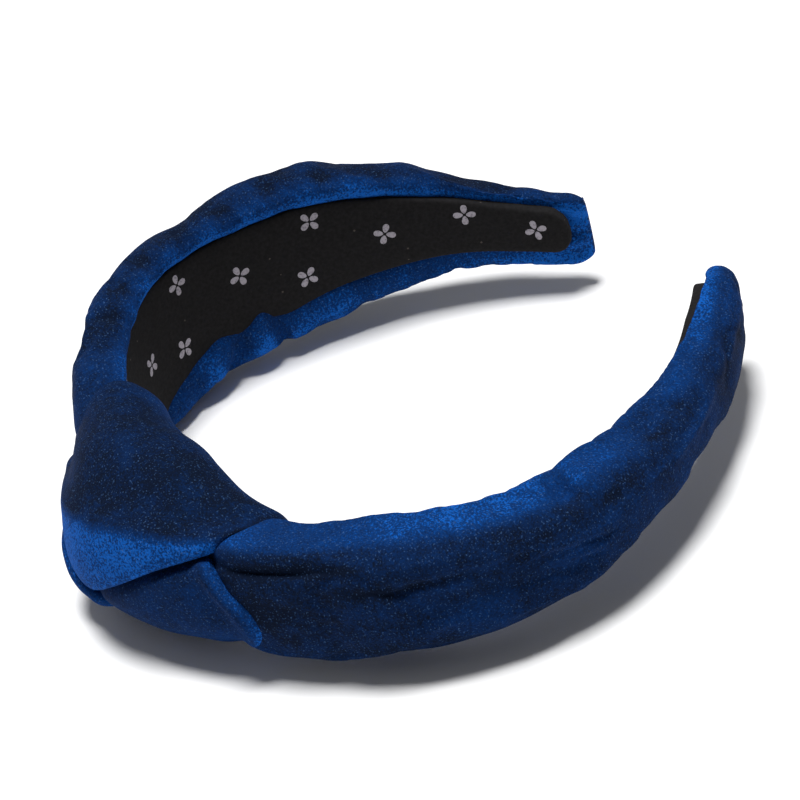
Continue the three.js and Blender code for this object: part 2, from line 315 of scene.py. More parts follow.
# flat matt ink of the small printed flowers, a little broken by the nap under it
def flowerInk():
    material, tree, shader = newMaterial("flowerInk")
    spot = addNode(tree, "ShaderNodeTexCoord", {}, {}).outputs["Object"]
    worn = addNode(tree, "ShaderNodeTexNoise", {}, {
        "Vector": spot, "Scale": 1000 / liningLook["inkMm"], "Detail": 2.0})
    ramp = addNode(tree, "ShaderNodeValToRGB", {}, {"Fac": worn.outputs["Fac"]})
    ramp.color_ramp.elements[0].color = toLinear(liningLook["flowerWorn"])
    ramp.color_ramp.elements[0].position = 0.3
    ramp.color_ramp.elements[1].color = toLinear(liningLook["flower"])
    ramp.color_ramp.elements[1].position = 0.5
    tree.links.new(ramp.outputs["Color"], shader.inputs["Base Color"])
    shader.inputs["Roughness"].default_value = 0.9
    return material


# plain hidden materials: each with the grain that its making leaves
def hiddenStuff(name, low, high, grainMm, roughness, depth):
    material, tree, shader = newMaterial(name)
    spot = addNode(tree, "ShaderNodeTexCoord", {}, {}).outputs["Object"]
    cells = addNode(tree, "ShaderNodeTexNoise", {}, {"Vector": spot, "Scale": 1000 / grainMm, "Detail": 3.0})
    ramp = addNode(tree, "ShaderNodeValToRGB", {}, {"Fac": cells.outputs["Fac"]})
    ramp.color_ramp.elements[0].color = toLinear(low)
    ramp.color_ramp.elements[1].color = toLinear(high)
    tree.links.new(ramp.outputs["Color"], shader.inputs["Base Color"])
    bump = addNode(tree, "ShaderNodeBump", {}, {
        "Height": cells.outputs["Fac"], "Strength": 0.5, "Distance": depth})
    tree.links.new(bump.outputs["Normal"], shader.inputs["Normal"])
    shader.inputs["Roughness"].default_value = roughness
    return material


velvet = crushedVelvet()
lining = brushedLining()
ink = flowerInk()
foam = hiddenStuff("polyurethaneFoam", "#D8D2BE", "#F0EBDB", 1.2, 0.95, 0.0004)  # open cells, cream
hoopPlastic = hiddenStuff("mouldedAbs", "#2B2B2D", "#343437", 6.0, 0.45, 0.00005)  # smooth black ABS
gluePaste = hiddenStuff("hotGlue", "#C9BFA0", "#DCD4B8", 4.0, 0.35, 0.0002)  # set in soft lumps
spunThread = hiddenStuff("spunPolyesterThread", "#0A1B3C", "#14346C", 0.3, 0.7, 0.0001)  # twisted, navy

# velvet sleeves: heights and depths in millimetres at distances from the crown.
# hoopMiddle is how far the arm's middle line lifts or drops
sleeves = {
    "right": {
        "side": 1,
        "top": [(14, 8), (22, 9.5), (28, 12.6), (40, 13.0), (60, 14.1), (90, 11.3), (120, 7.9), (150, 7.2),
                (170, 8.0), (178.3, 6.9)],
        "bottom": [(14, -11), (32, -13.8), (46, -16.2), (70, -16), (95, -13.5), (120, -11.5), (150, -10.5),
                   (178.3, -7.5)],
        "depth": [(14, 8), (22, 10), (28, 13.8), (38, 14.0), (50, 12.8), (60, 12.6), (100, 12.2), (150, 8.2),
                  (178.3, 7.3)],
        "hoopMiddle": [(0, 0), (60, 0.5), (120, 0), (178.3, 0.5)],
    },
    "left": {
        "side": -1,
        "top": [(14, 15), (36, 18), (60, 20.5), (95, 23.5), (119, 23.6), (140, 17.5), (160, 9.1), (170, 5),
                (178.3, 4.5)],
        "bottom": [(14, -17), (40, -20), (75, -19.3), (100, -17.7), (119, -16.6), (145, -12.6), (178.3, -13.4)],
        "depth": [(14, 9), (30, 9.5), (60, 9.4), (119, 11), (150, 9), (178.3, 6.5)],
        "hoopMiddle": [(0, 0), (60, 0.3), (80, 1.5), (103, 3.6), (117, 5), (130, 4.3), (147, 2.2), (165, -1.5),
                       (178.3, -3.5)],
    },
}
liningHalf = [(0, 16), (50, 16), (80, 15), (103, 13.4), (117, 11.6), (130, 9.8), (145, 7.6), (160, 6.1),
              (178.3, 5.2)]
sleeveGrid = {"from": 14, "along": 210, "around": 112, "crowding": 1.15}


# rows of the sleeve crowd together towards its tip
def sleeveAlong(u):
    start = sleeveGrid["from"]
    return start + (hoopPlan["armLength"] - start) * (1 - (1 - u) ** sleeveGrid["crowding"])


# how far the velvet's rolled edge stands in over the lining
def overhang(along):
    return 2.4 * (1 - smooth(along, 118, 158)) - 1.2 * smooth(along, 150, 172)


# half-height of hoop and lining above (sign 1) or below (sign -1) their middle, just inside the velvet's edge
def liningReach(values, along, sign):
    middle = through(values["hoopMiddle"], along)
    height = sign * (through(values["top" if sign > 0 else "bottom"], along) - middle)
    return np.minimum(through(liningHalf, along), height - 2.2 + 1.4 * smooth(along, 140, 165))


# places where the cloth is pulled in (plus) or stands out (minus):
# distance, turn from the outer middle (minus is below), half widths of both, depth in mm, lean
tucks = {
    "right": [
        (93.5, 0.50, 2.2, 0.10, 3.0, 14), (98.6, 0.48, 3.2, 0.09, -1.5, 10), (120, 0.47, 2.6, 0.08, 0.9, 10),
        (127, 0.47, 2.2, 0.08, 0.9, -12), (136, 0.45, 5.0, 0.10, -0.5, 0), (110, 0.44, 6.0, 0.10, -0.5, 0),
        (40, 0.31, 12.0, 0.038, 1.9, 60), (29, 0.29, 6.0, 0.045, 1.4, 0), (58, 0.14, 15.0, 0.05, 0.7, 80),
        (66, 0.42, 5.0, 0.06, 0.5, 10), (78, 0.43, 3.4, 0.06, 0.5, -10), (86, 0.44, 3.0, 0.06, 0.4, 10),
        (150, 0.2, 3.0, 0.3, 0.5, 20), (158, 0.1, 2.6, 0.3, 0.5, -14), (140, 0.1, 4.0, 0.25, 0.5, 12),
        (172, 0.25, 1.6, 0.25, 0.5, 8), (175, -0.2, 1.5, 0.25, 0.5, -6), (80, -0.35, 9.0, 0.1, 0.6, 30),
        (110, -0.3, 7.0, 0.1, 0.6, -30), (55, -0.45, 4.0, 0.1, 0.6, 6), (66, -0.5, 3.0, 0.1, 0.7, -6),
        (92, -0.52, 3.0, 0.1, 0.8, 8), (118, -0.5, 3.0, 0.1, 0.7, 6), (137, -0.5, 3.0, 0.1, 0.6, -6),
    ],
    "left": [
        (103.5, -0.64, 1.7, 0.07, 2.6, 14), (92, -0.67, 2.2, 0.06, 2.4, -34), (98, -0.64, 2.6, 0.06, -0.8, 6),
        (84, -0.66, 2.4, 0.06, -0.8, 30), (76, -0.68, 2.2, 0.05, 1.2, 30), (66, -0.64, 3.0, 0.07, 1.0, 12),
        (124, -0.60, 2.4, 0.06, 1.2, -8), (131, -0.60, 2.2, 0.06, 1.0, 8), (139, -0.60, 2.0, 0.06, 0.9, -8),
        (146, -0.59, 2.0, 0.06, 0.9, 6), (154, -0.58, 2.0, 0.06, 0.7, 6), (114, -0.60, 3.0, 0.07, 0.5, 0),
        (58, 0.62, 2.4, 0.10, 1.0, 8), (66, 0.63, 2.2, 0.10, 0.9, -8), (76, 0.62, 2.6, 0.10, 0.9, 8),
        (87, 0.62, 2.6, 0.10, 0.9, -6), (98, 0.62, 2.8, 0.09, 0.9, 6), (110, 0.61, 2.8, 0.09, 0.7, 8),
        (122, 0.60, 3.0, 0.09, 0.7, -8), (135, 0.60, 3.0, 0.09, 0.6, 8), (92, 0.42, 7.0, 0.12, 0.5, 30),
        (112, 0.42, 4.0, 0.12, 0.8, 20), (130, 0.4, 6.0, 0.12, 0.5, -20), (70, 0.3, 8.0, 0.16, 0.6, 30),
        (152, 0.4, 4.0, 0.14, 0.5, 10), (163, 0.4, 3.0, 0.14, 0.6, -8), (170, 0.2, 3.0, 0.3, 0.6, 6),
        (80, -0.2, 9.0, 0.2, 0.6, 30), (110, -0.1, 9.0, 0.2, 0.6, -30), (140, -0.15, 7.0, 0.2, 0.5, 20),
    ],
}


def pulledIn(side, along, turn):
    total = 0.45 * noise2(7 if side == "right" else 11, along, turn, 13, 0.16)
    total = total + 0.22 * noise2(17 if side == "right" else 21, along, turn, 5, 0.09)
    for at, around, wide, tall, depth, lean in tucks[side]:
        shifted = along - at - lean * (turn - around)
        total = total + depth * np.exp(-(shifted / wide) ** 2 - ((turn - around) / tall) ** 2)
    return total * smooth(along, 20, 34) * (1 - 0.7 * smooth(along, 172, 178))


# once round the sleeve: out over its face, in over the rolled edges, and back behind the lining
def sleeveShape(values, name):
    def shape(u, v):
        length = hoopPlan["armLength"]
        along = sleeveAlong(u)
        turn = (v - 0.5) * 2
        t = np.abs(turn)
        top = through(values["top"], along)
        bottom = through(values["bottom"], along)
        depth = through(values["depth"], along)
        middle = through(values["hoopMiddle"], along)
        over = overhang(along)
        height = np.where(turn > 0, top - middle, middle - bottom)
        edge = np.where(turn > 0, liningReach(values, along, 1), liningReach(values, along, -1))
        edge = edge + 0.5 * noise1(3, along + 50 * (turn > 0), 4.5) * smooth(along, 40, 60)
        if name == "left":  # the cloth below is fuller, and comes up over the lining near the knot
            full = np.exp(-((along - 84) / 22) ** 2) * (turn < 0)
            edge = edge - 4.2 * (1 - smooth(along, 48, 78)) * (turn > 0)
            over = over + 1.0 * (1 - smooth(along, 50, 84)) * (turn > 0)
            peaks = 3.2 * np.exp(-((along - 100) / 3.2) ** 2) + 1.4 * np.exp(-((along - 88) / 4) ** 2)
            edge = edge - 5.5 * full - peaks * (turn < 0)
            over = over + 2.2 * full
        lean = 1 - smooth(along, 32, 56) if name == "right" else 0 * along
        crest = 0.25 + 0.35 * lean
        outs = [depth, depth * 0.985, depth * 0.88, depth * (0.60 + 0.2 * lean), depth * crest,
                -0.5 * over + 4 * lean, -over - 0.3 + 2 * lean, -0.7 * over, 0.2 + 0 * depth, 1.3 + 0 * depth,
                1.35 + 0 * depth]
        rises = [0 * height, height * 0.42, height * 0.78, height * 0.96, height, edge + 0.80 * (height - edge),
                 edge + 0.42 * (height - edge), edge + 0.08 * (height - edge), edge - 0.9, edge - 2.6, 0 * height]
        stops = np.array([0, 0.18, 0.34, 0.45, 0.52, 0.60, 0.67, 0.72, 0.76, 0.82, 1.0])
        out = spline(stops, outs, t)
        rise = spline(stops, rises, t) * np.sign(turn)
        pull = pulledIn(name, along, turn) * (1 - smooth(t, 0.70, 0.76))
        ahead, upward = out - depth * 0.45, rise / np.maximum(height, 1) * depth * 0.8
        size = np.sqrt(ahead**2 + upward**2) + 0.5
        out = out - pull * ahead / size
        rise = rise - pull * upward / size
        past = smooth(along, length - 6, length)
        pinch = np.sqrt(np.maximum(0, 1 - (np.clip((along - (length - 6)) / 6, 0, 1) * 0.985) ** 2))
        mid = depth * 0.5
        out = mid + (out - mid) * pinch
        nearEnd = np.clip((along - (length - 4)) / 4, 0, 1)
        rise = rise * (1 - 0.06 * past - 0.22 * (1 - np.sqrt(np.maximum(0, 1 - nearEnd**2))))
        return place(values["side"], along, out, middle + rise)
    return shape


# like through, for a value at each stop that changes from point to point
def spline(stops, values, t):
    values = np.array(values)
    slope = np.gradient(values, stops, axis=0)
    i = np.clip(np.searchsorted(stops, t, side="right") - 1, 0, len(stops) - 2)
    step = stops[i + 1] - stops[i]
    f = (t - stops[i]) / step
    k = np.arange(len(t))
    a, b = values[i, k], values[i + 1, k]
    sa, sb = slope[i, k], slope[i + 1, k]
    return ((2 * f**3 - 3 * f**2 + 1) * a + (f**3 - 2 * f**2 + f) * step * sa
            + (3 * f**2 - 2 * f**3) * b + (f**3 - f**2) * step * sb)


# painted sheen and shade for the velvet's colour, from 0, dark painted shade, to 1, bright painted sheen, along
# the same grid as the cloth
def sleevePaintedLight(name):
    def napAndPaintedLight(u, v):
        along = sleeveAlong(u)
        turn = (v - 0.5) * 2
        pull = pulledIn(name, along, turn)
        # painted shade where the cloth is pulled in, painted highlight where it stands out
        paintedCreaseShade = np.clip(0.26 * pull, -0.16, 0.16)
        if name == "right":
            # right arm: painted sheen along the top roll, on the lower inner roll and in a patch on the face near
            # the tip
            crest = smooth(turn, 0.41, 0.50) * 0.46 + 0.08 * smooth(turn, 0.25, 0.42)
            crest = crest * (0.85 + 0.15 * smooth(along, 36, 70)) - 0.05 * (1 - smooth(along, 40, 60))
            crest = crest * (1 - 0.45 * smooth(along, 93, 99) * (1 - smooth(along, 140, 160)))
            crest = crest + 0.16 * smooth(along, 135, 165) * smooth(turn, 0.1, 0.4)
            crest = crest + 0.16 * np.exp(-((along - 134) / 11) ** 2 - ((turn + 0.05) / 0.25) ** 2)
            below = 0.10 * smooth(-turn, 0.30, 0.50) + 0.4 * smooth(-turn, 0.56, 0.64)
            return 0.13 + crest + below - paintedCreaseShade
        # left arm: painted sheen on both inner rolls and towards the tip
        above = 0.02 * smooth(turn, 0.10, 0.40) + 0.46 * smooth(turn, 0.55, 0.65) + 0.26 * smooth(turn, 0.64, 0.70)
        below = 0.62 * smooth(-turn, 0.44, 0.58) - 0.15 * smooth(-turn, 0.64, 0.70)
        ends = 0.12 * smooth(along, 150, 170)
        return 0.11 + above + below + ends - 1.3 * paintedCreaseShade
    return napAndPaintedLight


# cloth settling: the sleeve swells a little against its pinned edges, and no point moves past the cap
settling = {"frames": 20, "pressure": 4.0, "slack": -0.025, "mass": 0.15, "capMm": 1.1}


def settle(piece, pinned):
    before = np.empty(len(piece.data.vertices) * 3)
    piece.data.vertices.foreach_get("co", before)
    before = before.reshape(-1, 3)
    group = piece.vertex_groups.new(name="pinned")
    for index, weight in enumerate(pinned(before)):
        if weight > 0.01:
            group.add([index], float(weight), "REPLACE")
    modifier = piece.modifiers.new("settling", "CLOTH")
    cloth = modifier.settings
    cloth.quality = 4
    cloth.mass = settling["mass"]
    cloth.use_pressure = True
    cloth.uniform_pressure_force = settling["pressure"]
    cloth.shrink_min = settling["slack"]
    cloth.vertex_group_mass = "pinned"
    cloth.effector_weights.gravity = 0
    modifier.collision_settings.use_collision = False
    modifier.point_cache.frame_start = 1
    modifier.point_cache.frame_end = settling["frames"]
    for frameNumber in range(1, settling["frames"] + 1):
        bpy.context.scene.frame_set(frameNumber)
    settled = piece.evaluated_get(bpy.context.evaluated_depsgraph_get()).data
    after = np.empty(len(settled.vertices) * 3)
    settled.vertices.foreach_get("co", after)
    move = after.reshape(-1, 3) - before
    size = np.linalg.norm(move, axis=1, keepdims=True) + 1e-12
    cap = settling["capMm"] * 0.001
    move = move / size * (cap * np.tanh(size / cap))
    after = before + move
    after[:, 2] = np.maximum(after[:, 2], before[:, 2].min())
    piece.modifiers.remove(modifier)
    piece.vertex_groups.remove(group)
    bpy.context.scene.frame_set(1)
    piece.data.vertices.foreach_set("co", after.ravel())
    piece.data.update()
    furthest = float(np.linalg.norm(move, axis=1).max() * 1000)
    print("settled", piece.name, "furthest move in mm", round(furthest, 2))


# pinned where it is glued behind the lining, under the knot and at the tip
def sleevePins(values, name):
    def pins(points):
        shape = sleeveShape(values, name)
        rows, columns = sleeveGrid["along"], sleeveGrid["around"]
        u, v = np.meshgrid(np.linspace(0, 1, rows + 1), np.arange(columns) / columns, indexing="ij")
        u, v = u.ravel(), v.ravel()
        along = sleeveAlong(u)
        t = np.abs((v - 0.5) * 2)
        ends = np.maximum(1 - smooth(along, 34, 48), smooth(along, 171, 176))
        weight = np.maximum(smooth(t, 0.62, 0.71), ends)
        tree = KDTree(len(u))
        for index, point in enumerate(shape(u, v)):
            tree.insert(point, index)
        tree.balance()
        return [weight[tree.find(point)[1]] for point in points]
    return pins


pieces = {}
for name, values in sleeves.items():
    piece = makeTube("velvetSleeve" + name.capitalize(), sleeveGrid["along"], sleeveGrid["around"],
                     sleeveShape(values, name), sleevePaintedLight(name), sewAt=0.25)
    piece.data.materials.append(velvet)
    settle(piece, sleevePins(values, name))
    pieces[name] = piece
print("sleeves made")


# once round a section with rounded corners, the squarer the higher square is
def roundedSection(v, square):
    angle = 2 * np.pi * v
    c, s = np.cos(angle), np.sin(angle)
    return c, s, (np.abs(c) ** square + np.abs(s) ** square) ** (-1 / square)


# a strip or pad inside an arm: sides gives its near, far, low and high side at a distance from the crown.
# its tip is rounded, and so is its start unless that is the crown
def innerShape(side, start, end, middleOf, sides, roundEnd, square):
    def shape(u, v):
        along = start + (end - start) * (1 - (1 - u) ** 1.2)
        near, far, low, high = sides(along)
        fromTip, fromStart = along - (end - roundEnd), (start + roundEnd - along) * (start > 1)
        past = np.clip(np.maximum(fromTip, fromStart) / roundEnd, 0, 1)
        shrink = np.sqrt(np.maximum(0.0, 1 - past**2))
        c, s, reach = roundedSection(v, square)
        half = (high - low) / 2
        up = (high + low) / 2 + (half - roundEnd * (1 - shrink)) * s * reach
        out = (near + far) / 2 + (far - near) / 2 * c * reach * (0.3 + 0.7 * shrink)
        return place(side, along, out, middleOf(along) + up)
    return shape


# near and far sides from the hoop's middle plane, where each starts and ends along the arm, and how far
# it keeps from the velvet's or the lining's edge
hidden = {
    "liningNear": -2.15, "liningFar": 1.15, "liningEnd": 174.8, "liningWall": 0.0005,
    "hoopNear": -1.0, "hoopFar": 1.0, "hoopEnd": 173.8, "hoopIn": 0.8,
    "glueNear": 1.75, "glueFar": 2.1, "glueHalf": 3.2, "glueStart": 42, "glueEnd": 166,
    "padNear": 2.6, "padStart": 41, "padEnd": 172, "padThinnest": 1.2,
    "padBelow": 2.4, "padAbove": 2.8, "padUnderFace": 4.06,
}
for name, values in sleeves.items():
    side = values["side"]
    capital = name.capitalize()

    def middleOf(along):
        return through(values["hoopMiddle"], along)

    def liningSides(along):
        low, high = liningReach(values, along, -1), liningReach(values, along, 1)
        return hidden["liningNear"] + 0 * along, hidden["liningFar"] + 0 * along, -low, high

    def hoopSides(along):
        low = liningReach(values, along, -1) - hidden["hoopIn"]
        high = liningReach(values, along, 1) - hidden["hoopIn"]
        return hidden["hoopNear"] + 0 * along, hidden["hoopFar"] + 0 * along, -low, high

    def glueSides(along):
        sides = (hidden["glueNear"], hidden["glueFar"], -hidden["glueHalf"], hidden["glueHalf"])
        return [value + 0 * along for value in sides]

    def padSides(along):
        low = through(values["bottom"], along) - middleOf(along) + hidden["padBelow"]
        high = through(values["top"], along) - middleOf(along) - hidden["padAbove"]
        high = high - np.maximum(0, pulledIn(name, along, 0.49 + 0 * along))
        far = through(values["depth"], along) - hidden["padUnderFace"]
        far = np.maximum(hidden["padNear"] + hidden["padThinnest"], far)
        return hidden["padNear"] + 0 * along, far, low, high

    # rows along and around, where it starts and ends, its sides, its end radius, how square it is, its material
    layers = {
        "lining": (150, 72, 0, hidden["liningEnd"], liningSides, 4.6, 8, lining),
        "hoop": (110, 32, 0, hidden["hoopEnd"], hoopSides, 4, 6, hoopPlastic),
        "glue": (80, 24, hidden["glueStart"], hidden["glueEnd"], glueSides, 3, 4, gluePaste),
        "pad": (110, 40, hidden["padStart"], hidden["padEnd"], padSides, 4, 3, foam),
    }
    for kind, (rows, columns, start, end, sides, roundEnd, square, material) in layers.items():
        shape = innerShape(side, start, end, middleOf, sides, roundEnd, square)
        pieces[kind + capital] = makeTube(kind + capital, rows, columns, shape)
        pieces[kind + capital].data.materials.append(material)
    wall = pieces["lining" + capital].modifiers.new("wall", "SOLIDIFY")
    wall.thickness = hidden["liningWall"]
    wall.offset = -1
    finer(pieces["pad" + capital])
print("lining, hoop, glue and pads made")

# small printed flowers, in mm: distance and height of each on the lining
flower = {"petals": 4, "long": 2.3, "wide": 1.5, "gap": 0.35, "proud": 0.05, "edge": 2.6, "turn": 17}
flowerSpots = {
    "left": [(81, 12.4), (97.4, 6.3), (116.5, 13.0), (112.8, -0.7), (132.6, 4.3), (151.6, 5.6), (167.2, -1.2),
             (78, -3), (64.8, 1.1), (46, 8), (44, -6), (28, 1), (12, -8), (10, 9)],
    "right": [(10, -1), (26, -9), (29, 6), (45, -2), (48, 12), (61, -10), (64, 5), (80, -3), (83, 10), (96, -10),
              (99, 4), (115, -3), (118, 9), (133, 3), (131, -7), (149, -3), (164, 2)],
}
for name, spots in flowerSpots.items():
    values = sleeves[name]
    side = values["side"]
    bm = bmesh.new()
    for order, (at, rise) in enumerate(spots):
        # kept clear of the lining's edges
        middle = float(through(values["hoopMiddle"], at))
        low = middle - float(liningReach(values, at, -1)) + flower["edge"]
        fromTop = flower["edge"] * (0.35 if side < 0 and at < 125 else 1.2)
        high = middle + float(liningReach(values, at, 1)) - fromTop
        for petal in range(flower["petals"]):
            turned = math.radians(360 / flower["petals"] * petal + flower["turn"] * order)
            made = bmesh.ops.create_circle(bm, cap_ends=True, segments=14, radius=0.5)
            for vert in made["verts"]:
                reach = flower["gap"] + flower["long"] * (vert.co.x + 0.5)
                swell = flower["wide"] * vert.co.y * (0.75 + 0.5 * (vert.co.x + 0.5))
                da = reach * math.cos(turned) - swell * math.sin(turned)
                dz = reach * math.sin(turned) + swell * math.cos(turned)
                up = min(max(rise, low), high) + dz
                out = hidden["liningNear"] - flower["proud"]
                vert.co = place(side, np.array([at + da]), np.array([out]), np.array([up]))[0]
    mesh = bpy.data.meshes.new("flowers")
    bmesh.ops.recalc_face_normals(bm, faces=bm.faces)
    towards = Vector((0, 0, hoopPlan["restHeight"] * 0.001))
    for face in bm.faces:
        if face.normal.dot(towards - face.calc_center_median()) < 0:
            face.normal_flip()
    bm.to_mesh(mesh)
    bm.free()
    piece = bpy.data.objects.new("flowers" + name.capitalize(), mesh)
    bpy.context.collection.objects.link(piece)
    piece.data.materials.append(ink)
    pieces["flowers" + name.capitalize()] = piece
print("printed flowers made")

# knot: how far its skin stands from a line 5 mm outside the hoop, facing each way, along the crown
knot = {
    "centreOut": 5.0,
    "faces": [-90, -45, 0, 28, 60, 90, 130, 180, 225],
    "reach": {
        -38: [17.5, 13.0, 9.4, 8.8, 15.0, 20.0, 21.5, 15.5, 15.0],
        -28: [18.5, 14.5, 9.7, 9.3, 16.0, 22.0, 21.0, 16.9, 15.0],
        -20: [19.4, 16.5, 12.5, 12.4, 17.5, 23.5, 21.0, 17.0, 15.0],
        -10: [20.0, 18.6, 17.0, 16.4, 19.5, 24.5, 21.5, 17.5, 15.0],
        0: [20.5, 19.2, 18.0, 18.3, 19.5, 24.0, 22.0, 17.5, 15.0],
        10: [20.5, 18.4, 16.6, 17.0, 18.5, 21.5, 20.5, 15.6, 15.0],
        20: [20.3, 16.4, 14.2, 14.4, 15.5, 17.5, 17.0, 13.5, 14.0],
        30: [19.0, 14.8, 12.2, 12.4, 13.2, 14.2, 14.6, 12.0, 13.0],
        40: [18.0, 13.5, 9.4, 9.2, 10.5, 11.8, 12.6, 11.0, 12.0],
    },
    "sharpness": 9,
    "foldThick": 4.2,
    "foldLower": [(-38, -37), (-20, -34), (-5, -25), (7, 2), (15, 27), (20, 43), (25, 62), (28, 80), (31, 98),
                  (37, 112)],
    "foldUpper": [(-38, 146), (-24, 164), (0, 170), (24, 166), (38, 150)],
    "foldRidge": [(-38, 19), (-12, 33), (0, 40), (10, 49), (20, 59), (38, 100)],
    "foldEnds": (-38.5, 37.5),
    "wrapThick": 3.4,
    "wrapSink": 1.7,
    "wrapRim": [(-112, 29), (-60, 32), (-35, 34), (-10, 32.8), (25, 28.4), (55, 23.8), (90, 19)],
    "wrapStart": -34.0,
    "wrapLowest": -112,
    "wrapUnderFold": 22,
}


def knotReach(along, degrees):
    stations = sorted(knot["reach"])
    total = 0
    for index, face in enumerate(knot["faces"]):
        distance = through([(at, knot["reach"][at][index]) for at in stations], along)
        total = total + np.maximum(0, np.cos(np.radians(degrees - face)) / distance) ** knot["sharpness"]
    return total ** (-1 / knot["sharpness"])


def knotPoint(along, degrees, reach):
    out = knot["centreOut"] + reach * np.cos(np.radians(degrees))
    up = reach * np.sin(np.radians(degrees))
    return place(np.where(along < 0, -1, 1), along, out, up)


# v once round a flat strip: share across its width, and 0 inner to 1 outer face
def stripLoop(v):
    c, s, reach = roundedSection(v, 4)
    return 0.5 + 0.5 * c * reach, 0.5 + 0.5 * s * reach


# where a point of the fold's grid lies: along the crown, the way it faces, and its place in the strip
def foldGrid(u, v):
    start, end = knot["foldEnds"]
    along = start + (end - start) * (0.5 - 0.5 * np.cos(np.pi * (0.06 + 0.88 * u)))
    across, depth = stripLoop(v)
    lower = through(knot["foldLower"], along)
    upper = through(knot["foldUpper"], along)
    return along, lower + (upper - lower) * across, across, depth


# the wide fold over the top and front of the knot, with a soft ridge between its band and its panel
def foldShape(u, v):
    start, end = knot["foldEnds"]
    along, degrees, across, depth = foldGrid(u, v)
    ends = np.minimum(np.clip((along - start - 0.2) / 3, 0, 1), np.clip((end - along - 0.2) / 3, 0, 1))
    pinch = np.sqrt(1 - (1 - ends) ** 2)
    ridge = through(knot["foldRidge"], along)
    reach = knotReach(along, degrees) + 0.7 * np.exp(-(((degrees - ridge) / 8) ** 2))
    hollow = 0.8 * np.exp(-(((degrees - ridge - 24) / 14) ** 2))
    reach = reach + 0.35 * noise2(41, along, degrees, 11, 22) - hollow
    # both ends turn under and go in beside the hoop
    under = (4.8 - 1.9 * smooth(degrees, 70, 110)) * (1 - smooth(along, start, start + 11)) ** 1.5
    under = under + 3.4 * smooth(along, end - 9, end) ** 2
    middle = reach - knot["foldThick"] / 2 - under
    return knotPoint(along, degrees, middle + knot["foldThick"] * (depth - 0.5) * (0.12 + 0.88 * pinch))


# painted sheen on the band below the ridge, on the inner edge and at the left end, and painted shade on the panel
# above it and at the band's lower edge
def foldPaintedLight(u, v):
    along, degrees, across, depth = foldGrid(u, v)
    ridge = through(knot["foldRidge"], along)
    band = 0.84 * (1 - smooth(degrees, ridge - 7, ridge + 5)) - 0.12 * (1 - smooth(across, 0.0, 0.10))
    inner = 0.26 * smooth(degrees, 118, 148)
    left = 0.10 * (1 - smooth(along, -36, -16)) * smooth(degrees, 20, 60)
    return 0.03 + band + inner + left


# the strand round the underside, which tucks under the fold above and ends in a rolled rim on the right
def wrapShape(u, v):
    begin, lowest = knot["wrapStart"], knot["wrapLowest"]
    across, depth = stripLoop(v)
    share = 0.5 - 0.5 * np.cos(np.pi * (0.04 + 0.92 * u))
    upper = through(knot["foldLower"], begin + 70 * share) + knot["wrapUnderFold"]
    degrees = lowest + (upper - lowest) * across
    end = through(knot["wrapRim"], degrees)
    along = begin + (end - begin) * share
    lower = through(knot["foldLower"], along)
    under = smooth(degrees, lower - 12, lower + 4)
    ends = np.minimum(np.clip((along - begin - 0.2) / 3, 0, 1), np.clip((end - along) / 2.2, 0, 1))
    pinch = np.sqrt(1 - (1 - ends) ** 2)
    inside = end - along
    rolled = 1.1 * np.exp(-(((inside - 2.4) / 1.7) ** 2)) - 0.5 * np.exp(-(((inside - 6.5) / 2.4) ** 2))
    creased = 0.25 * noise2(31, along, degrees, 7, 16)
    outer = knotReach(along, degrees) - knot["wrapSink"] - 3.2 * under + (rolled + creased) * (1 - under)
    corner = 1.6 * (1 - smooth(degrees, lowest, lowest + 20)) * smooth(inside, 6, 0)
    middle = outer - knot["wrapThick"] / 2 - 3.6 * (1 - smooth(along, begin, begin + 9)) ** 2 - corner
    return knotPoint(along, degrees, middle + knot["wrapThick"] * (depth - 0.5) * (0.15 + 0.85 * pinch))


# painted sheen on the rolled rim at the right end and along the strip's lower edge
def wrapPaintedLight(u, v):
    across, depth = stripLoop(v)
    return 0.22 + 0.40 * smooth(u, 0.90, 0.96) + 0.16 * (1 - smooth(across, 0.25, 0.45))


fold = makeTube("knotFold", 100, 140, foldShape, foldPaintedLight)
wrap = makeTube("knotWrap", 100, 120, wrapShape, wrapPaintedLight)


# soft batting that fills the knot, well inside its cloth
filling = {"start": -33, "long": 62, "roundEnd": 6, "inside": 7.2, "most": 13, "centreOut": 8.2, "flatness": 0.62}


def battingShape(u, v):
    along = filling["start"] + filling["long"] * u
    degrees = 360 * v
    half = filling["long"] / 2
    past = np.abs(along - filling["start"] - half) - (half - filling["roundEnd"])
    past = np.clip(past / filling["roundEnd"], 0, 1)
    reach = np.minimum(knotReach(along, degrees) - filling["inside"], filling["most"])
    reach = reach * np.sqrt(np.maximum(0.02, 1 - past**2))
    out = filling["centreOut"] + np.maximum(0.4, reach * filling["flatness"]) * np.cos(np.radians(degrees))
    up = np.maximum(0.4, reach) * np.sin(np.radians(degrees))
    return place(np.where(along < 0, -1, 1), along, out, up)


batting = makeTube("knotBattingFill", 40, 40, battingShape)


# the folded-under edge that shows as a small roll below the wide fold
tuck = {
    "radius": 1.8,
    # one even painted sheen level for the whole roll
    "napAndPaintedLight": 0.55,
    # distance from the crown, the way it faces in degrees, and how far out
    "path": [(-26, -6, 7.6), (-20, -14, 11.6), (-15, -22, 15.2), (-11, -29, 17.2), (-7, -35, 17.8),
             (-4, -40, 17.5), (-1, -45, 16.0)],
}


